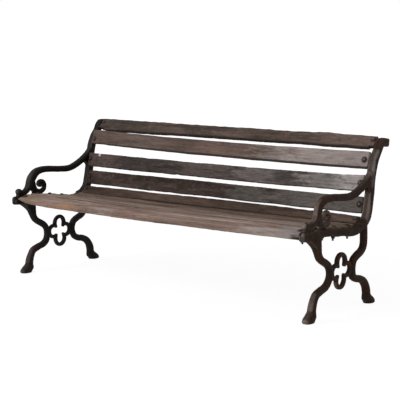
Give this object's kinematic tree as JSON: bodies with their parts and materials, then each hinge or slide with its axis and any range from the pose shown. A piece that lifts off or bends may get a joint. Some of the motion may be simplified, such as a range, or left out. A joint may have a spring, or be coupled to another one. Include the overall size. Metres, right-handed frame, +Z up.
{
  "type": "garden bench",
  "caption": "Long garden bench: openwork iron end castings with curled arms and hoofed feet carry timber back and seat slats on bolted lugs.",
  "frame": {"origin": "on the floor, under the middle of the bench's length and depth", "axes": "+X along the bench to the sitter's left, +Y to the rear, +Z up"},
  "size_m": [1.85, 0.73, 0.7828],
  "materials": {
    "iron": "weathered dark brown-black iron with rust on the ridges",
    "back_wood": "weathered grey-brown bare timber",
    "seat_wood": "worn warm tan timber with pale grey streaks",
    "fastener_steel": "rusted dark steel"
  },
  "bodies": {
    "root": {"end_casting_left": "iron", "end_casting_right": "iron", "back_slat_1": "back_wood", "back_slat_2": "back_wood", "back_slat_3": "back_wood", "back_slat_4": "back_wood", "seat_slat_1": "seat_wood", "seat_slat_2": "seat_wood", "seat_slat_3": "seat_wood", "seat_slat_4": "seat_wood", "seat_slat_5": "seat_wood", "seat_slat_6": "seat_wood", "back_bolts_left": "fastener_steel", "back_bolts_right": "fastener_steel", "seat_bolts_left": "fastener_steel", "seat_bolts_right": "fastener_steel", "back_washers_left": "fastener_steel", "back_washers_right": "fastener_steel", "seat_washers_left": "fastener_steel", "seat_washers_right": "fastener_steel", "back_nuts_left": "fastener_steel", "back_nuts_right": "fastener_steel", "seat_nuts_left": "fastener_steel", "seat_nuts_right": "fastener_steel"}
  },
  "joints": []
}
